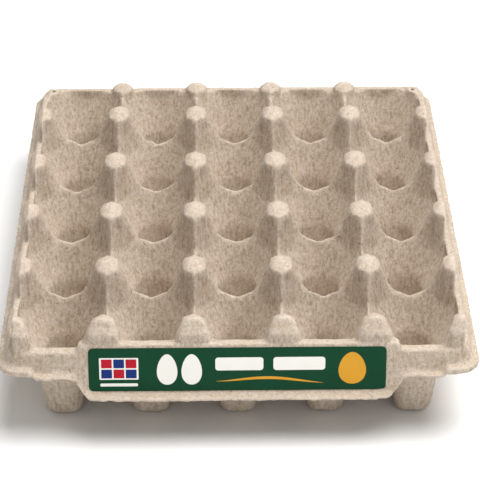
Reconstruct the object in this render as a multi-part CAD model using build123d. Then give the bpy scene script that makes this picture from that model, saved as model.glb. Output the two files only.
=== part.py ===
from build123d import *
from math import cos, radians, sin
import os

# Pulp egg tray: one moulded shell of paper pulp with a printed label stuck on its apron.
# Millimetres. X runs along the labelled front, Y to the back, Z up from the floor.
# The origin is on the floor under the middle of the cell grid.
# A value named "drop" is a depth below the tops of the posts.

# ---- the grid of cells ----
cells_x = 5
cells_y = 5
pitch_x = 47.0               # cell spacing along the front
pitch_y = 56.0               # cell spacing from front to back
wall = 1.9                   # thickness of the pulp
height = 70.0                # floor to the tops of the posts

# ---- one cup, with half widths across and along the cell ----
foot_half_x = 7.8            # inside half width just above the foot
foot_half_y = 16.8
foot_round = 3.4             # how far the foot's bottom edge is rounded in
waist_drop = 44.0            # where the steep foot opens into the seat of the egg
waist_half_x = 10.8
waist_half_y = 20.6
saddle_drop = 24.0           # where neighbouring cups meet
mouth_flare = 0.31           # widening of the mouth per millimetre of height
cup_corners = (3.6, 6.4, 10.2, 23.0, 27.0)   # corner radii, from the floor up to the mouth
corner_facets = 5            # flats that make up each rounded corner of a cup

# ---- posts between the cups ----
post_top = 2.8               # radius of the flat on top of a post
post_roof_drop = 2.9         # height of the shallow roof under the flat
post_shoulder_x = 6.4        # reach of the ridges at the foot of the roof, across and along
post_shoulder_y = 9.6
post_shoulder_round = 8.0    # radius between the ridges there
post_neck_drop = 12.0
post_neck_x = 10.2           # reach of the ridges at the neck
post_neck_y = 12.0
post_neck_round = 8.2
post_root_drop = 30.0        # depth at which a post dies into the cup walls
post_root_tip = 17.5
post_root_round = 10.6
post_hollow_top = 1.2        # radius of the flat inside the top of a post
ridge_drop = 6.0             # the cup walls run up inside the posts to here
back_post_drop = 11.5        # the posts of the back row are this much lower
back_corner_drop = 15.5      # the two back corners are cut off flat here
front_post_base = 13.2       # half width of a front post where it meets the corner ledge
front_post_drop = 7.4        # where its upper face, which leans back, meets the lower one
front_post_half = 8.8        # half width there
front_post_faces = (2.0, 4.2, 6.8, 10.4)     # half widths of its front faces, from the top down
front_post_reach = (0.5, 1.6, 3.3, 4.0)      # how far they stand out past the grid
front_post_ridge = 0.6       # how far the middle line of the faces stands out

# ---- rim ----
ledge_side_drop = 17.0       # top of the rim at the sides, the back and the corner cells
ledge_front_drop = 13.0      # top of the rim over the apron
ledge_side_width = 3.0
ledge_front_width = 5.0
side_draft = 0.35            # outward lean of the side walls per millimetre down
front_draft = 0.20           # outward lean of the front wall and apron
flange_side_drop = 24.5      # top face of the flange at the sides and the back
flange_corner_drop = 28.4    # top face of the flange under the front corner cells
flange_front_drop = 40.0     # top face of the flange under the apron
flange_side_width = 3.2
flange_corner_width = 4.2
flange_front_width = 5.5
rim_corner = 9.0             # corner radius of the rim wall
flange_corner = 13.0         # corner radius of the flange
apron_margin = 12.5          # the apron runs this far past the posts of the middle cells
apron_bend = 11.0            # length over which the flange sweeps up beside the apron
crown_bend = 1.5             # length over which the ledge steps down beside the apron
corner_pad = 9.0             # length of the raised flange pad at each front corner
pad_bend = 2.5
bulge_half = 13.0            # half width of the swelling of the rim beside each cell
bulge_depth = 1.2

# ---- label ----
label_end_gap = 5.5          # apron left bare at each end of the label
label_edge_gap = 1.5         # apron left bare above and below it
label_thickness = 0.25
label_corner = 2.5

# ---- worked out from the values above ----
hx = pitch_x / 2
hy = pitch_y / 2
grid_x = hx * cells_x
grid_y = hy * cells_y
saddle = height - saddle_drop
crest = saddle - 1.7 * wall  # underside of the wall where two cups meet
ledge_side = height - ledge_side_drop
ledge_front = height - ledge_front_drop
flange_side = height - flange_side_drop
flange_low = height - flange_corner_drop
flange_front = height - flange_front_drop
apron_half = grid_x - pitch_x + apron_margin
slant = 1.1 * wall           # level distance through a sloping wall
apron_height = (ledge_front - flange_front) * (1 + front_draft ** 2) ** 0.5
label_length = 2 * (apron_half - label_end_gap)
label_height = apron_height - 2 * label_edge_gap
above = height + 1           # a level clear of everything


def block(x0, x1, y0, y1, z0, z1):
    """Plain box between two corners."""
    return Pos((x0 + x1) / 2, (y0 + y1) / 2, (z0 + z1) / 2) * Box(x1 - x0, y1 - y0, z1 - z0)


def stack(sections):
    """Ruled solid through a list of (z, sketch) sections."""
    return loft([Plane.XY.offset(z) * sketch for z, sketch in sections], ruled=True)


def polygon(points):
    """Flat face with straight edges between the points."""
    return make_face(Polyline(*points, close=True))


def faceted_rectangle(half_x, half_y, radius):
    """Rectangle whose corners are rounded with a few flats."""
    points = []
    for quarter, (sx, sy) in enumerate([(1, 1), (-1, 1), (-1, -1), (1, -1)]):
        for step in range(corner_facets + 1):
            turn = radians(90 * (quarter + step / corner_facets))
            x = sx * (half_x - radius) + radius * cos(turn)
            y = sy * (half_y - radius) + radius * sin(turn)
            points.append((x, y))
    return polygon(points)


def cup(grow, floor):
    """Egg cup as a solid, its walls moved out by grow and its floor at the given height."""
    mouth = mouth_flare * (above - saddle)
    levels = [
        (floor, foot_half_x - foot_round, foot_half_y - foot_round),
        (floor + foot_round, foot_half_x, foot_half_y),
        (height - waist_drop, waist_half_x, waist_half_y),
        (saddle, hx, hy),
        (above, hx + mouth, hy + mouth),
    ]
    return stack([
        (z, faceted_rectangle(a + grow, b + grow, r))
        for (z, a, b), r in zip(levels, cup_corners)
    ])


def star(tip_x, tip_y, diagonal):
    """Eight-cornered section of a post: tips along X and Y, corners between them."""
    d = diagonal / 2 ** 0.5
    return polygon([(tip_x, 0), (d, d), (0, tip_y), (-d, d), (-tip_x, 0), (-d, -d), (0, -tip_y), (d, -d)])


def post(shrink, top, flat):
    """Post as a solid, drawn in by shrink all round, with a flat of the given radius on top."""
    rings = [
        (post_root_drop, post_root_tip, post_root_tip, post_root_round),
        (post_neck_drop, post_neck_x, post_neck_y, post_neck_round),
        (post_roof_drop, post_shoulder_x, post_shoulder_y, post_shoulder_round),
    ]
    sections = [(top - drop, star(a - shrink, b - shrink, c - shrink)) for drop, a, b, c in rings]
    return stack(sections + [(top, star(flat, flat, flat))])


def cell_body(grow, shrink, flat, drop, back_drop):
    """Everything under one surface of a cell: walls up to the posts, less the cup."""
    ridge = height - ridge_drop - drop
    body = block(-hx, hx, -hy, hy, -drop, ridge)
    if back_drop:
        body -= block(-hx, hx, hy - post_root_tip, hy, ridge - back_drop, above)
    body -= cup(grow, wall - drop)
    tile = block(-hx, hx, -hy, hy, -drop, above)
    for sx in (-1, 1):
        for sy in (-1, 1):
            top = height - drop - (back_drop if sy > 0 else 0)
            body += (Pos(sx * hx, sy * hy) * post(shrink, top, flat)) & tile
    return body


def cell(back_drop):
    """Shell of one cell, and the solid under its top surface."""
    upper = cell_body(0, 0, post_top, 0, back_drop)
    lower = cell_body(slant, wall, post_hollow_top, wall, back_drop)
    return upper - lower, upper


def end_cap(upper, direction):
    """Wall that closes the half posts of an edge cell on the side the direction points to."""
    dx, dy = direction
    slab = Pos(dx * (pitch_x - wall), dy * (pitch_y - wall)) * block(-hx, hx, -hy, hy, crest, above)
    return upper & slab


def grid_of_cells():
    """All the cells joined and closed at the edges of the grid."""
    plain = cell(0)
    last_row = cell(back_post_drop)
    pieces = []
    for j in range(cells_y):
        shell, upper = last_row if j == cells_y - 1 else plain
        for i in range(cells_x):
            edges = [(-1, 0)] * (i == 0) + [(1, 0)] * (i == cells_x - 1)
            edges += [(0, -1)] * (j == 0) + [(0, 1)] * (j == cells_y - 1)
            here = shell
            for direction in edges:
                here = here + end_cap(upper, direction)
            pieces.append(Pos(pitch_x * (i - (cells_x - 1) / 2), pitch_y * (j - (cells_y - 1) / 2)) * here)
    return pieces[0].fuse(*pieces[1:])


def front_face(z):
    """Y of the outer face of the front wall at a height."""
    return -(grid_y + ledge_front_width + front_draft * (ledge_front - z))


def side_face(z):
    """X of the outer face of a side wall at a height."""
    return grid_x + ledge_side_width + side_draft * (ledge_side - z)


def back_face(z):
    """Y of the outer face of the back wall at a height."""
    return grid_y + ledge_side_width + side_draft * (ledge_side - z)


def plan_plate(half_x, y0, y1, corner):
    """Rounded rectangle in plan, between two Y values."""
    return Pos(0, (y0 + y1) / 2) * RectangleRounded(2 * half_x, y1 - y0, corner)


def outline(z):
    """Plan of the rim wall's outer face at a height."""
    return plan_plate(side_face(z), front_face(z), back_face(z), rim_corner)


def flange_line(pad, lift):
    """Front view line of the flange from corner to corner, its corner pads at the height pad."""
    rise = flange_low - flange_front
    bend_start = apron_half - apron_bend / 2
    pad_start = grid_x - corner_pad
    right = [
        (bend_start, flange_front),
        (bend_start + 0.25 * apron_bend, flange_front + 0.14 * rise),
        (bend_start + 0.75 * apron_bend, flange_front + 0.86 * rise),
        (bend_start + apron_bend, flange_low),
        (pad_start - pad_bend, flange_low),
        (pad_start, pad),
        (side_face(0), pad),
    ]
    line = [(-x, z) for x, z in reversed(right)] + right
    return [(x, z + lift) for x, z in line]


def front_prism(points, y0, y1):
    """Solid with its outline drawn on the front (x, z), reaching from y0 to y1."""
    return extrude(Plane.XZ.offset(-y1) * polygon(points), amount=y1 - y0)


def side_prism(points, x0, x1):
    """Solid with its outline drawn on the side (y, z), reaching from x0 to x1."""
    return extrude(Plane.YZ.offset(x0) * polygon(points), amount=x1 - x0)


def rim_wall():
    """Bead of the rim at the sides and back, and the front wall with its apron."""
    far = side_face(0)
    low = flange_front - wall
    tall = stack([(low, outline(low)), (ledge_front, outline(ledge_front))])
    crown = [
        (far, ledge_side),
        (apron_half + crown_bend, ledge_side),
        (apron_half, ledge_front),
        (-apron_half, ledge_front),
        (-apron_half - crown_bend, ledge_side),
        (-far, ledge_side),
    ]
    front = front_prism(flange_line(flange_low, -wall) + crown, front_face(0), -grid_y)
    rest = block(-far, far, -grid_y, back_face(0), flange_side - wall, ledge_side)
    return (tall & front) + (tall & rest)


def front_hollow(x0, x1, top):
    """Space behind the front wall between two places along it."""
    behind = -grid_y - slant
    return side_prism([
        (-grid_y, -1),
        (-grid_y, crest),
        (behind, crest + wall),
        (behind, top),
        (min(behind, front_face(top) + wall), top),
        (front_face(-1) + wall, -1),
    ], x0, x1)


def flange_plan():
    """Plan of the flange's outer edge, with its wider tab under the apron."""
    half_x = side_face(flange_side) + flange_side_width
    y0 = front_face(flange_low) - flange_corner_width
    y1 = back_face(flange_side) + flange_side_width
    tab_y = front_face(flange_front) - flange_front_width
    tab_half = apron_half - apron_bend / 2
    tab = polygon([
        (-tab_half - apron_bend, y0 + 1),
        (-tab_half, tab_y),
        (tab_half, tab_y),
        (tab_half + apron_bend, y0 + 1),
    ])
    return plan_plate(half_x, y0, y1, flange_corner) + tab


def flange():
    """Flat lip round the rim, which dips under the apron."""
    plan = flange_plan()
    far = side_face(0)
    y_far = front_face(0) - flange_front_width
    under = list(reversed(flange_line(flange_low + wall, -wall)))
    band = front_prism(flange_line(flange_side, 0) + under, y_far, -grid_y)
    front = band & extrude(plan, amount=height)
    lip = extrude(Plane.XY.offset(flange_side - wall) * plan, amount=wall)
    lip -= block(-far, far, y_far, -grid_y, 0, height)
    return front + lip


def bulges():
    """Swellings of the side and back walls beside the cells."""
    top = ledge_side - wall
    span = top - flange_side + wall / 2
    swell = stack([
        (0, RectangleRounded(2 * (bulge_depth + side_draft * span), 2 * bulge_half, 1.0)),
        (span, RectangleRounded(2 * bulge_depth, 2 * bulge_half - span, 1.0)),
    ])
    places = []
    for j in range(cells_y):
        y = pitch_y * (j - (cells_y - 1) / 2)
        places += [Pos(side * side_face(top), y, top - span) * swell for side in (-1, 1)]
    for i in range(cells_x):
        x = pitch_x * (i - (cells_x - 1) / 2)
        places.append(Pos(x, back_face(top), top - span) * Rot(0, 0, 90) * swell)
    return places


def front_posts():
    """Broad faces of the posts that stand on the front ledge."""
    inside = block(-grid_x, grid_x, front_face(0), -grid_y, 0, above)
    drops = (0, post_roof_drop, front_post_drop, ledge_side_drop + wall)
    halves = (post_top, post_shoulder_x, front_post_half, front_post_base)
    rings = []
    for drop, half, flat, reach in zip(drops, halves, front_post_faces, front_post_reach):
        ridge = -reach - front_post_ridge
        ring = polygon([(-half, 0), (-flat, -reach), (0, ridge), (flat, -reach), (half, 0)])
        rings.insert(0, (height - drop, ring))
    face = stack(rings)
    return [
        (Pos(pitch_x * (i - cells_x / 2), -grid_y) * face) & inside
        for i in range(cells_x + 1)
    ]


def tray():
    """The whole moulding."""
    rim = rim_wall() + flange()
    rim = rim.fuse(*bulges())
    rim -= front_hollow(-apron_half + wall, apron_half - wall, ledge_front - wall)
    rim -= front_hollow(apron_half, grid_x - wall, ledge_side - wall)
    rim -= front_hollow(-grid_x + wall, -apron_half, ledge_side - wall)
    rim -= block(-grid_x, grid_x, -grid_y, grid_y, -1, above)
    whole = grid_of_cells().fuse(rim, *front_posts())
    corner = block(grid_x - hx, grid_x, grid_y - hy, grid_y, height - back_corner_drop, above)
    return whole - corner - mirror(corner, about=Plane.YZ)


def label():
    """Thin sheet stuck flat on the apron."""
    mid = (ledge_front + flange_front) / 2
    spot = Plane(origin=(0, front_face(mid), mid), x_dir=(1, 0, 0), z_dir=(0, -1, front_draft))
    return extrude(spot * RectangleRounded(label_length, label_height, label_corner), amount=label_thickness)


os.makedirs("parts", exist_ok=True)
export_step(tray(), "parts/tray.step")
export_step(label(), "parts/label.step")
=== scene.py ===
import bpy
import math
import numpy as np
from mathutils import Euler, Matrix, Vector


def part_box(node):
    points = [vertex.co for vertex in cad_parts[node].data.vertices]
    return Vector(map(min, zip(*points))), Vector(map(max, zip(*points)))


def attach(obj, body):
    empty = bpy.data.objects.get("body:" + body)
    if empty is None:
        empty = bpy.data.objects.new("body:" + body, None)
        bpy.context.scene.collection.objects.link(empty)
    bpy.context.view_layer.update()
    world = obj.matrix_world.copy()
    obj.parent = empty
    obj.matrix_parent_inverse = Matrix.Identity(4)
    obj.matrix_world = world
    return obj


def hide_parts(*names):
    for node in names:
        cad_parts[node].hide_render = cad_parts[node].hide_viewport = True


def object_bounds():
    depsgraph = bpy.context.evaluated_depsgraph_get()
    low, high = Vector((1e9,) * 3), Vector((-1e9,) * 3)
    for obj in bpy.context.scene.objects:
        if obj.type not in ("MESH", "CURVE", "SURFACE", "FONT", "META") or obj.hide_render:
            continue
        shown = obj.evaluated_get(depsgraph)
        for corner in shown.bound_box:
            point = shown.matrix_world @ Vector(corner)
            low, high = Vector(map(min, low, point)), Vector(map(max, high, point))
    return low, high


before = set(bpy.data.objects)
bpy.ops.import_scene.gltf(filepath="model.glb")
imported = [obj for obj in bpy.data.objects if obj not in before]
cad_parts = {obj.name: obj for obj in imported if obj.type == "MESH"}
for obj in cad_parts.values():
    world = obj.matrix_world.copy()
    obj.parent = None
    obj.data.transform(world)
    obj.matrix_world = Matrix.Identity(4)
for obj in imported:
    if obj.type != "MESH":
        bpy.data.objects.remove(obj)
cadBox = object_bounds()
labelLow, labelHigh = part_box("label")
print("frame loaded")

mm = 0.001


def srgb(hexText):
    # sRGB hex to the linear colour that a shader wants
    values = [int(hexText[i:i + 2], 16) / 255 for i in (1, 3, 5)]
    return [v / 12.92 if v <= 0.04045 else ((v + 0.055) / 1.055) ** 2.4 for v in values] + [1.0]


def addNode(tree, kind, settings=None, inputs=None):
    # one node with its settings and its inputs, each a fixed value or the output wired into it
    node = tree.nodes.new(kind)
    for name, value in (settings or {}).items():
        setattr(node, name, value)
    for name, value in (inputs or {}).items():
        if isinstance(value, bpy.types.NodeSocket):
            tree.links.new(value, node.inputs[name])
        else:
            node.inputs[name].default_value = value
    return node


def newMaterial(name):
    material = bpy.data.materials.new(name)
    material.use_nodes = True
    material.node_tree.nodes.clear()
    return material, material.node_tree


def makeActive(piece):
    bpy.ops.object.select_all(action="DESELECT")
    piece.select_set(True)
    bpy.context.view_layer.objects.active = piece


def shapeWith(piece, kind, name, **settings):
    # one modifier, applied at once
    modifier = piece.modifiers.new(name, kind)
    for key, value in settings.items():
        setattr(modifier, key, value)
    makeActive(piece)
    bpy.ops.object.modifier_apply(modifier=name)


pulpLook = {
    "light": "#d5c8bb",          # washed fibre, and the painted highlight along the crests
    "middle": "#c5b6a6",
    "dark": "#ae9c87",           # thick places that dried last, and the painted shade in the hollows
    "fibreLight": "#e4dacd",
    "fibreDark": "#7f6e5d",
    "speckBrown": "#5f4a3a",
    "speckGrey": "#6a686c",      # ink left in the recycled paper
    "cloud": 12.0 * mm,          # width of the faint large patches
    "mottle": 1.9 * mm,          # width of the small patches
    "fibre": 2.3 * mm,           # spacing of the visible fibre lines
    "speck": 2.1 * mm,           # spacing of the flecks
    "drain": (1.5 * mm, 9.0 * mm),       # width and length of the streaks where water ran down
    "felt": 0.6 * mm,            # short fibres, about twice as coarse as real so that they show
    "bumpDepth": 0.4 * mm,
    "bumpStrength": 0.7,
    "roughness": 0.93,
    "specular": 0.25,
}


noiseNode = "ShaderNodeTexNoise"
bandNode = "ShaderNodeMapRange"
mathNode = "ShaderNodeMath"
mixNode = "ShaderNodeMix"        # its colour inputs are sockets 6 and 7, its colour output is 2
softBand = {"interpolation_type": "SMOOTHSTEP"}
mixColour = {"data_type": "RGBA"}
multiply = {"operation": "MULTIPLY"}


def pulpMaterial():
    # recycled paper pulp, vacuum moulded and oven dried: dull, felted, flecked, with a painted highlight on
    # its crests and painted shade in its hollows
    look = pulpLook
    material, tree = newMaterial("mouldedRecycledPulp")
    place = addNode(tree, "ShaderNodeTexCoord").outputs["Object"]
    surface = addNode(tree, "ShaderNodeNewGeometry")

    # small patches first, then the faint large ones: size, detail, distortion, roughness,
    # the band of the noise that shows, how strongly, and the colour laid over
    colour = srgb(look["dark"])
    for size, detail, distortion, rough, low, high, top, over in (
        (look["mottle"], 5.0, 0.4, 0.7, 0.36, 0.62, 1.0, "middle"),
        (look["mottle"] * 0.45, 3.0, 0.6, 0.7, 0.5, 0.72, 0.7, "light"),
        (look["cloud"], 4.0, 0.0, 0.55, 0.42, 0.68, 0.22, "dark"),
    ):
        patch = addNode(tree, noiseNode, inputs={
            "Vector": place, "Scale": 1 / size, "Detail": detail,
            "Distortion": distortion, "Roughness": rough}).outputs["Fac"]
        amount = addNode(tree, bandNode, softBand, {
            "Value": patch, "From Min": low, "From Max": high, "To Max": top}).outputs["Result"]
        colour = addNode(tree, mixNode, mixColour, {
            "Factor": amount, 6: colour, 7: srgb(look[over])}).outputs[2]

    # streaks down the steep walls: dark ones, then pale ones between them
    normal = addNode(tree, "ShaderNodeSeparateXYZ", inputs={"Vector": surface.outputs["Normal"]})
    upright = addNode(tree, mathNode, {"operation": "ABSOLUTE"}, {0: normal.outputs["Z"]}).outputs[0]
    steep = addNode(tree, bandNode, softBand, {
        "Value": upright, "From Min": 0.75, "From Max": 0.35}).outputs["Result"]
    wide, long = look["drain"]
    stretched = addNode(tree, "ShaderNodeMapping", inputs={
        "Vector": place, "Scale": (1.0, 1.0, wide / long)}).outputs["Vector"]
    streak = addNode(tree, noiseNode, inputs={
        "Vector": stretched, "Scale": 1 / wide, "Detail": 3.0,
        "Distortion": 0.3, "Roughness": 0.6}).outputs["Fac"]
    for low, high, over in ((0.52, 0.66, "fibreDark"), (0.47, 0.34, "light")):
        amount = addNode(tree, bandNode, softBand, {
            "Value": streak, "From Min": low, "From Max": high, "To Max": 0.4}).outputs["Result"]
        onWall = addNode(tree, mathNode, multiply, {0: amount, 1: steep}).outputs[0]
        colour = addNode(tree, mixNode, mixColour, {
            "Factor": onWall, 6: colour, 7: srgb(look[over])}).outputs[2]

    # painted highlight on the crests and painted shade in the hollows, both read from the mesh's pointiness
    for low, high, top, over in ((0.51, 0.60, 0.6, "light"), (0.49, 0.42, 0.45, "dark")):
        amount = addNode(tree, bandNode, softBand, {
            "Value": surface.outputs["Pointiness"],
            "From Min": low, "From Max": high, "To Max": top}).outputs["Result"]
        colour = addNode(tree, mixNode, mixColour, {
            "Factor": amount, 6: colour, 7: srgb(look[over])}).outputs[2]

    # fibres lying in the surface: thin winding lines, where a noise field crosses its middle value,
    # shown only where a second, larger field lets them
    threads = []
    for size, width, distortion, spread, low, high, top, over in (
        (look["fibre"], 0.028, 1.6, look["fibre"] * 2.2, 0.45, 0.6, 0.55, "fibreLight"),
        (look["fibre"] * 1.7, 0.014, 2.2, look["fibre"] * 3.1, 0.52, 0.66, 0.6, "fibreDark"),
    ):
        field = addNode(tree, noiseNode, inputs={
            "Vector": place, "Scale": 1 / size, "Detail": 2.0,
            "Distortion": distortion, "Roughness": 0.55}).outputs["Fac"]
        centred = addNode(tree, mathNode, {"operation": "SUBTRACT"}, {0: field, 1: 0.5}).outputs[0]
        away = addNode(tree, mathNode, {"operation": "ABSOLUTE"}, {0: centred}).outputs[0]
        line = addNode(tree, bandNode, softBand, {
            "Value": away, "From Min": width, "From Max": width * 0.25}).outputs["Result"]
        scatter = addNode(tree, noiseNode, inputs={
            "Vector": place, "Scale": 1 / spread, "Detail": 3.0,
            "Distortion": 0.0, "Roughness": 0.55}).outputs["Fac"]
        shown = addNode(tree, bandNode, softBand, {
            "Value": scatter, "From Min": low, "From Max": high, "To Max": top}).outputs["Result"]
        thread = addNode(tree, mathNode, multiply, {0: line, 1: shown}).outputs[0]
        threads.append(thread)
        colour = addNode(tree, mixNode, mixColour, {
            "Factor": thread, 6: colour, 7: srgb(look[over])}).outputs[2]

    # flecks of bark and ink: spacing, reach, share left out, colour
    flecks = []
    for spacing, reach, left, over in (
        (look["speck"], 0.17, 0.80, "speckBrown"),
        (look["speck"] * 0.7, 0.17, 0.86, "speckGrey"),
        (look["speck"] * 2.4, 0.11, 0.70, "speckBrown"),
    ):
        cells = addNode(tree, "ShaderNodeTexVoronoi", inputs={"Vector": place, "Scale": 1 / spacing})
        drawn = addNode(tree, "ShaderNodeSeparateColor", inputs={"Color": cells.outputs["Color"]}).outputs[0]
        spot = addNode(tree, bandNode, softBand, {
            "Value": cells.outputs["Distance"], "From Min": reach, "From Max": reach * 0.5}).outputs["Result"]
        kept = addNode(tree, mathNode, {"operation": "GREATER_THAN"}, {0: drawn, 1: left}).outputs[0]
        fleck = addNode(tree, mathNode, multiply, {0: spot, 1: kept}).outputs[0]
        flecks.append(fleck)
        amount = addNode(tree, mathNode, multiply, {0: fleck, 1: 0.75}).outputs[0]
        colour = addNode(tree, mixNode, mixColour, {
            "Factor": amount, 6: colour, 7: srgb(look[over])}).outputs[2]

    # relief: lumps, felt, drained walls and proud fibres are added, pin holes at the flecks taken away
    lumps = addNode(tree, noiseNode, inputs={
        "Vector": place, "Scale": 1 / (look["fibre"] * 0.9), "Detail": 4.0,
        "Distortion": 0.3, "Roughness": 0.65}).outputs["Fac"]
    felt = addNode(tree, noiseNode, inputs={
        "Vector": place, "Scale": 1 / look["felt"], "Detail": 2.0,
        "Distortion": 0.0, "Roughness": 0.55}).outputs["Fac"]
    drained = addNode(tree, mathNode, multiply, {0: streak, 1: steep}).outputs[0]
    height = addNode(tree, mathNode, multiply, {0: lumps, 1: 0.8}).outputs[0]
    for source, share, operation in (
        (felt, 0.35, "ADD"), (drained, 0.35, "ADD"), (threads[0], 0.5, "ADD"), (flecks[0], 0.5, "SUBTRACT"),
    ):
        layer = addNode(tree, mathNode, multiply, {0: source, 1: share}).outputs[0]
        height = addNode(tree, mathNode, {"operation": operation}, {0: height, 1: layer}).outputs[0]
    bump = addNode(tree, "ShaderNodeBump", inputs={
        "Height": height, "Strength": look["bumpStrength"], "Distance": look["bumpDepth"]})

    shader = addNode(tree, "ShaderNodeBsdfPrincipled", inputs={
        "Base Color": colour, "Normal": bump.outputs["Normal"],
        "Roughness": look["roughness"], "Specular IOR Level": look["specular"]})
    addNode(tree, "ShaderNodeOutputMaterial", inputs={"Surface": shader.outputs["BSDF"]})
    return material


paperLook = {
    "grain": 0.8 * mm,
    "grainDepth": 0.05 * mm,
    "patches": 9 * mm,           # width of the faint unevenness of the ink
    "roughness": 0.5,
    "specular": 0.12,
}


def printedPaper(name, hexText, deeper):
    # coated paper printed with one flat ink: even, faintly grained, with a low sheen
    material, tree = newMaterial(name)
    place = addNode(tree, "ShaderNodeTexCoord").outputs["Object"]
    grain = addNode(tree, noiseNode, inputs={
        "Vector": place, "Scale": 1 / paperLook["grain"], "Detail": 3.0}).outputs["Fac"]
    bump = addNode(tree, "ShaderNodeBump", inputs={
        "Height": grain, "Strength": 0.25, "Distance": paperLook["grainDepth"]})
    patches = addNode(tree, noiseNode, inputs={
        "Vector": place, "Scale": 1 / paperLook["patches"], "Detail": 4.0}).outputs["Fac"]
    ink = addNode(tree, mixNode, mixColour, {"Factor": patches, 6: srgb(deeper), 7: srgb(hexText)})
    shader = addNode(tree, "ShaderNodeBsdfPrincipled", inputs={
        "Base Color": ink.outputs[2], "Normal": bump.outputs["Normal"],
        "Roughness": paperLook["roughness"], "Specular IOR Level": paperLook["specular"]})
    addNode(tree, "ShaderNodeOutputMaterial", inputs={"Surface": shader.outputs["BSDF"]})
    return material


pulp = pulpMaterial()
greenPaper = printedPaper("coatedPaperGreenInk", "#0d472d", "#0a3b25")
whiteInk = printedPaper("coatedPaperUnprinted", "#f6f4ee", "#eeebe3")
goldInk = printedPaper("coatedPaperOchreInk", "#dfa436", "#d2962c")
blueInk = printedPaper("coatedPaperBlueInk", "#1c367f", "#172d6b")
redInk = printedPaper("coatedPaperRedInk", "#c21c30", "#ad182a")
print("materials made")


tray = {
    "voxel": 0.75 * mm,          # fine enough to keep the thin walls
    "rounding": 3,               # smoothing passes that soften every pressed edge
    "waves": 16.0 * mm, "waveDepth": 0.7 * mm,
    "lumps": 3.5 * mm, "lumpDepth": 0.42 * mm,
    "ragged": 2.2 * mm, "raggedDepth": 1.3 * mm,     # torn look of the flange's outer edge
    "edgeBand": 2.4 * mm,        # how far in from the edge it reaches
    "easing": 0.5,               # strength of every smoothing pass
    "crestLevel": 0.52,          # waves and lumps stand this little above the moulded face
    "raggedLevel": 0.7,
    "calmMargin": 1.5 * mm,      # the pulp stays even under the label and this far round it
    "calm": 0.1,                 # share of the unevenness left there
    "triangles": 190000,
}
flange = {
    "corner": 13.0 * mm,
    "front": -152.3 * mm,        # front edge of the flange beside the apron
    "tabFront": -155.9 * mm,     # and under it
    "tabHalf": 80.0 * mm,
    "sweep": (72.0 * mm, 98.0 * mm),     # where it curves up beside the apron
    "behind": -146.0 * mm,
    "over": 48.0 * mm,
    "easing": 40,
    "inner": -30.0 * mm,         # farther in than this, a point is not at the front edge
}
frontPost = {
    "line": -140.0 * mm,         # front edge of the grid of cups
    "levels": (57.6 * mm, 59.0 * mm, 62.6 * mm, 70.0 * mm),
    "gains": (1.0, 1.1, 1.28, 0.3),      # how much further out the face stands at each level
}
cell = {
    "pitch": (47.0 * mm, 56.0 * mm),
    "grid": (116.0 * mm, 138.0 * mm),
    "crest": 3.0 * mm,           # how far from the line between two cups the easing reaches
    "below": 52.0 * mm,
    "easing": 14,
}


def cloudTexture(name, size, depth=2):
    texture = bpy.data.textures.new(name, "CLOUDS")
    texture.noise_scale = size
    texture.noise_depth = depth
    return texture


def readPlaces(piece):
    places = np.empty(len(piece.data.vertices) * 3, np.float32)
    piece.data.vertices.foreach_get("co", places)
    return places.reshape(-1, 3)


def nearFlangeEdge(places):
    # how near each point is to the flange's outer edge in plan: 1 at the edge, 0 beyond the band
    low, high = cadBox
    half = np.array([(high.x - low.x) / 2, (high.y - flange["front"]) / 2]) - flange["corner"]
    middle = np.array([(high.x + low.x) / 2, (high.y + flange["front"]) / 2])
    out = np.abs(places[:, :2] - middle) - half
    reach = np.linalg.norm(np.maximum(out, 0), axis=1) + np.minimum(out.max(axis=1), 0) - flange["corner"]
    onTab = np.abs(places[:, 0]) < flange["tabHalf"]
    tabReach = flange["tabFront"] - places[:, 1]
    reach = np.where(onTab & (places[:, 1] < 0), np.where(reach > flange["inner"], tabReach, reach), reach)
    return np.clip(1 + reach / tray["edgeBand"], 0, 1)


def setWeights(piece, name, weights):
    group = piece.vertex_groups.new(name=name)
    steps = np.round(weights * 10).astype(int)
    for step in range(1, 11):
        chosen = np.flatnonzero(steps == step)
        if len(chosen):
            group.add(chosen.tolist(), step / 10, "REPLACE")


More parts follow.
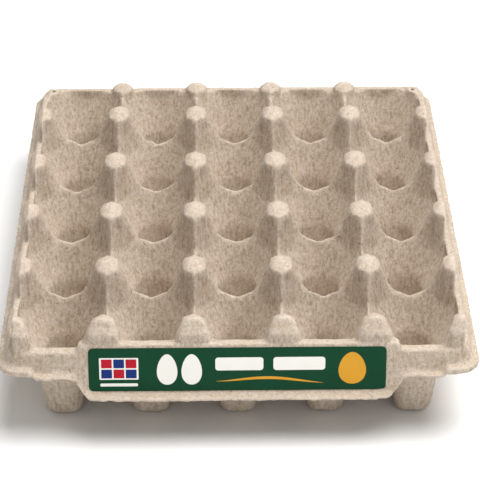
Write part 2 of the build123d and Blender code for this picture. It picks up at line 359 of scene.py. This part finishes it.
def makeTray():
    piece = bpy.data.objects.new("pulpTray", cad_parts["tray"].data.copy())
    bpy.context.collection.objects.link(piece)
    makeActive(piece)
    bpy.ops.object.mode_set(mode="EDIT")
    bpy.ops.mesh.select_all(action="SELECT")
    bpy.ops.mesh.remove_doubles(threshold=0.01 * mm)
    bpy.ops.object.mode_set(mode="OBJECT")
    shapeWith(piece, "REMESH", "evenMesh", mode="VOXEL", voxel_size=tray["voxel"])
    shapeWith(piece, "SMOOTH", "softEdges", factor=tray["easing"], iterations=tray["rounding"])
    print("tray remeshed", len(piece.data.vertices))

    # the faces of the front posts are pushed out at their shoulders and drawn back at their tips
    places = readPlaces(piece)
    proud = frontPost["line"] - places[:, 1]
    gain = np.interp(places[:, 2], frontPost["levels"], frontPost["gains"])
    onPost = (proud > 0) & (places[:, 2] > frontPost["levels"][0])
    places[:, 1] = np.where(onPost, frontPost["line"] - proud * gain, places[:, 1])
    piece.data.vertices.foreach_set("co", places.ravel())

    # the saddles between the cups lose their sharpest creases
    beside = [np.abs((places[:, k] / cell["pitch"][k]) % 1 - 0.5) * cell["pitch"][k] for k in (0, 1)]
    inside = (np.abs(places[:, 0]) < cell["grid"][0]) & (np.abs(places[:, 1]) < cell["grid"][1])
    saddle = inside & (np.minimum(beside[0], beside[1]) < cell["crest"]) & (places[:, 2] < cell["below"])
    setWeights(piece, "saddle", np.where(saddle, 1.0, 0.0))
    shapeWith(piece, "SMOOTH", "softSaddles", factor=tray["easing"],
              iterations=cell["easing"], vertex_group="saddle")

    # the flange sweeps up beside the apron in one easy curve
    places = readPlaces(piece)
    across = np.abs(places[:, 0])
    sweep = (across > flange["sweep"][0]) & (across < flange["sweep"][1])
    sweep &= (places[:, 1] < flange["behind"]) & (places[:, 2] < flange["over"])
    setWeights(piece, "sweep", np.where(sweep, 1.0, 0.0))
    shapeWith(piece, "SMOOTH", "softSweep", factor=tray["easing"],
              iterations=flange["easing"], vertex_group="sweep")

    # even pulp under the label, uneven pulp everywhere else, ragged at the flange's edge
    places = readPlaces(piece)
    low = np.array(labelLow) - tray["calmMargin"]
    high = np.array(labelHigh) + tray["calmMargin"]
    calm = np.all((places > low) & (places < high), axis=1)
    setWeights(piece, "uneven", np.where(calm, tray["calm"], 1.0))
    setWeights(piece, "edge", nearFlangeEdge(places))
    for name, size, depth, middle, group in (
        ("waves", tray["waves"], tray["waveDepth"], tray["crestLevel"], "uneven"),
        ("lumps", tray["lumps"], tray["lumpDepth"], tray["crestLevel"], "uneven"),
        ("ragged", tray["ragged"], tray["raggedDepth"], tray["raggedLevel"], "edge"),
    ):
        shapeWith(piece, "DISPLACE", name, texture=cloudTexture(name, size), texture_coords="LOCAL",
                  strength=depth, mid_level=middle, vertex_group=group)
    piece.vertex_groups.clear()
    shapeWith(piece, "DECIMATE", "fewerFaces", ratio=tray["triangles"] / (2 * len(piece.data.polygons)))

    # no lump stands outside the moulding's own box, and the feet stay flat on the floor
    places = np.clip(readPlaces(piece), np.array(cadBox[0]), np.array(cadBox[1]))
    piece.data.vertices.foreach_set("co", places.ravel())
    piece.data.update()
    bpy.ops.object.shade_smooth()
    piece.data.materials.clear()
    piece.data.materials.append(pulp)
    print("tray finished", sum(len(face.vertices) - 2 for face in piece.data.polygons))
    return piece


pulpTray = makeTray()
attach(pulpTray, "root")
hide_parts("tray")


label = {
    "length": labelHigh.x - labelLow.x,
    "height": 24.5 * mm,
    "corner": 2.5 * mm,
    "aside": -0.8 * mm,          # it was stuck on a little to the left
    "thickness": 0.20 * mm,
    "ink": 0.03 * mm,            # print stands this proud of the sheet
    "lean": math.atan(0.20),     # the apron leans out 0.20 mm for each mm down
    "ripple": 0.22 * mm,
    "rippleLength": 16 * mm,
    "rippleLevel": 0.2,
    "cut": 3.0 * mm,             # spacing of the cuts that let the sheet ripple
    "crease": math.radians(30),  # sharper edges than this stay sharp
}
printed = {
    "eggTaper": 0.16,            # how much narrower than round an egg is at its top
    "waveCuts": 24,
    "waveWaist": 1.04,           # the wave's thickness in the middle, against its ends
    "waveRise": 1.25 * mm,
    "waveTurn": 0.9,             # how much of a half turn each half of the wave takes
    "waveTilt": 0.6 * mm,
}
labelMiddle = (labelLow + labelHigh) / 2 + Vector((label["aside"], 0, 0))
ripples = cloudTexture("labelRipples", label["rippleLength"], 1)


def cutAcross(step, reach):
    # straight cuts in both directions, so that a flat shape can follow a ripple
    for normal, span in (((1, 0, 0), reach[0]), ((0, 1, 0), reach[1])):
        for k in range(-int(span / step), int(span / step) + 1):
            bpy.ops.mesh.select_all(action="SELECT")
            bpy.ops.mesh.bisect(plane_co=[n * k * step for n in normal], plane_no=normal)


def flatShape(name, width, height, corner, across, up, kind="plate"):
    # one flat shape, centred at (across, up) on the label
    bpy.ops.object.select_all(action="DESELECT")
    if kind == "egg":
        bpy.ops.mesh.primitive_circle_add(vertices=40, radius=0.5, fill_type="NGON")
    else:
        bpy.ops.mesh.primitive_plane_add(size=1)
    piece = bpy.context.object
    piece.name = name
    bpy.ops.object.mode_set(mode="EDIT")
    bpy.ops.mesh.select_all(action="SELECT")
    bpy.ops.transform.resize(value=(width, height, 1))
    if kind == "plate" and corner:
        bpy.ops.mesh.bevel(offset=corner, segments=6, affect="VERTICES")
    if kind == "wave":
        cutAcross(width / printed["waveCuts"], (width / 2, 0))
    bpy.ops.object.mode_set(mode="OBJECT")
    if kind == "egg":
        # narrower towards the top
        for vertex in piece.data.vertices:
            vertex.co.x *= 1 - printed["eggTaper"] * vertex.co.y / (height / 2)
    if kind == "wave":
        # a long low S that thins out to both ends
        for vertex in piece.data.vertices:
            along = vertex.co.x / (width / 2)
            vertex.co.y *= printed["waveWaist"] - along ** 2
            swing = math.sin(math.pi * (0.5 - printed["waveTurn"] * along))
            vertex.co.y += printed["waveRise"] * swing - printed["waveTilt"] * along
    for vertex in piece.data.vertices:
        vertex.co.x += across
        vertex.co.y += up
    return piece


def layOnApron(piece, lift, thickness, material, reach):
    makeActive(piece)
    bpy.ops.object.mode_set(mode="EDIT")
    cutAcross(label["cut"], reach)
    bpy.ops.mesh.select_all(action="SELECT")
    bpy.ops.mesh.normals_make_consistent(inside=False)
    bpy.ops.object.mode_set(mode="OBJECT")
    if piece.data.polygons[0].normal.z < 0:
        piece.data.flip_normals()
    turn = Euler((math.pi / 2 - label["lean"], 0, 0)).to_matrix().to_4x4()
    out = turn @ Vector((0, 0, 1))
    piece.data.transform(Matrix.Translation(labelMiddle + out * lift) @ turn)
    shapeWith(piece, "DISPLACE", "ripple", texture=ripples, texture_coords="LOCAL", direction="Y",
              strength=-label["ripple"], mid_level=label["rippleLevel"])
    shapeWith(piece, "SOLIDIFY", "sheet", thickness=thickness, offset=1.0)
    bpy.ops.object.shade_smooth_by_angle(angle=label["crease"])
    piece.data.materials.clear()
    piece.data.materials.append(material)
    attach(piece, "root")
    return piece


sheetLift = -0.12 * mm           # back of the sheet, measured from the middle of the CAD label
inkLift = sheetLift + label["thickness"] - 0.01 * mm
sheetReach = (label["length"] / 2, label["height"] / 2)

paper = flatShape("labelSheet", label["length"], label["height"], label["corner"], 0, 0)
layOnApron(paper, sheetLift, label["thickness"], greenPaper, sheetReach)
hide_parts("label")

# the print: kind, width, height, corner, across, up in millimetres
printWhite = [
    ("egg", 10.6, 17.4, 0, -36.6, 0.0),
    ("egg", 10.6, 17.4, 0, -23.8, 0.0),
    ("plate", 25.0, 7.4, 1.6, 1.0, 3.0),
    ("plate", 27.0, 7.4, 1.6, 32.2, 3.0),
    ("plate", 19.6, 1.7, 0.6, -61.7, -8.6),
    ("plate", 20.4, 12.4, 0.5, -61.7, 0.6),
]
printGold = [
    ("egg", 14.2, 18.2, 0, 59.8, 0.2),
    ("wave", 56.0, 1.5, 0, 17.0, -6.3),
]
checkSize = (5.6, 5.0)
checkGap = 0.8


def printLayer(name, shapes, lift, material):
    pieces = [
        flatShape(name, width * mm, height * mm, corner * mm, across * mm, up * mm, kind)
        for kind, width, height, corner, across, up in shapes
    ]
    makeActive(pieces[0])
    for piece in pieces[1:]:
        piece.select_set(True)
    bpy.ops.object.join()
    return layOnApron(pieces[0], lift, label["ink"], material, sheetReach)


def checkers(parity):
    # one half of the chequered field: three columns, two rows
    return [
        ("plate", checkSize[0], checkSize[1], 0.3,
         -61.7 + (i - 1) * (checkSize[0] + checkGap), 0.6 + (j - 0.5) * (checkSize[1] + checkGap))
        for i in range(3) for j in range(2) if (i + j) % 2 == parity
    ]


printLayer("printWhite", printWhite, inkLift, whiteInk)
printLayer("printGold", printGold, inkLift, goldInk)
printLayer("printBlue", checkers(0), inkLift + label["ink"], blueInk)
printLayer("printRed", checkers(1), inkLift + label["ink"], redInk)
print("label printed")


studio = {
    "floor": "#f6f6f5",
    "room": 0.42,
    "keyPower": 28.0, "keySize": 1.2, "keyPlace": (0.34, -0.10, 1.4),
    "fillPower": 1.2, "fillSize": 1.2, "fillPlace": (0.9, -1.1, 0.8),
}
view = {
    "target": (1.6 * mm, -64.9 * mm), "azimuth": math.radians(-0.74), "elevation": math.radians(32.7),
    "distance": 1.089, "lens": 148.95, "sensor": 36.0,
}


def addLight(name, power, size, place):
    light = bpy.data.lights.new(name, "AREA")
    light.shape = "DISK"
    light.size = size
    light.energy = power
    lamp = bpy.data.objects.new(name, light)
    bpy.context.collection.objects.link(lamp)
    lamp.location = place
    aim = Vector((0, 0, 0.03)) - Vector(place)
    lamp.rotation_euler = aim.to_track_quat("-Z", "Y").to_euler()


def setStage():
    bpy.ops.object.select_all(action="DESELECT")
    bpy.ops.mesh.primitive_plane_add(size=8)
    floor = bpy.context.object
    floor.name = "studioFloor"
    material, tree = newMaterial("paleStudioPaper")
    shader = addNode(tree, "ShaderNodeBsdfPrincipled", inputs={
        "Base Color": srgb(studio["floor"]), "Roughness": 0.9, "Specular IOR Level": 0.1})
    addNode(tree, "ShaderNodeOutputMaterial", inputs={"Surface": shader.outputs["BSDF"]})
    floor.data.materials.append(material)
    world = bpy.data.worlds.new("softRoom")
    bpy.context.scene.world = world
    world.use_nodes = True
    world.node_tree.nodes["Background"].inputs["Color"].default_value = (1, 1, 1, 1)
    world.node_tree.nodes["Background"].inputs["Strength"].default_value = studio["room"]
    addLight("keySoftbox", studio["keyPower"], studio["keySize"], studio["keyPlace"])
    addLight("fillSoftbox", studio["fillPower"], studio["fillSize"], studio["fillPlace"])


def setCamera():
    top = cadBox[1][2]
    toCamera = Vector((
        math.sin(view["azimuth"]) * math.cos(view["elevation"]),
        -math.cos(view["azimuth"]) * math.cos(view["elevation"]),
        math.sin(view["elevation"]),
    ))
    target = Vector((*view["target"], top))
    data = bpy.data.cameras.new("studioCamera")
    data.lens = view["lens"]
    data.sensor_width = view["sensor"]
    data.clip_start = 0.05
    data.clip_end = 20
    data.dof.use_dof = False
    camera = bpy.data.objects.new("studioCamera", data)
    bpy.context.collection.objects.link(camera)
    camera.location = target + toCamera * view["distance"]
    camera.rotation_euler = toCamera.to_track_quat("Z", "Y").to_euler()
    bpy.context.scene.camera = camera


setStage()
setCamera()
bpy.context.scene.view_settings.view_transform = "Standard"
print("stage set")
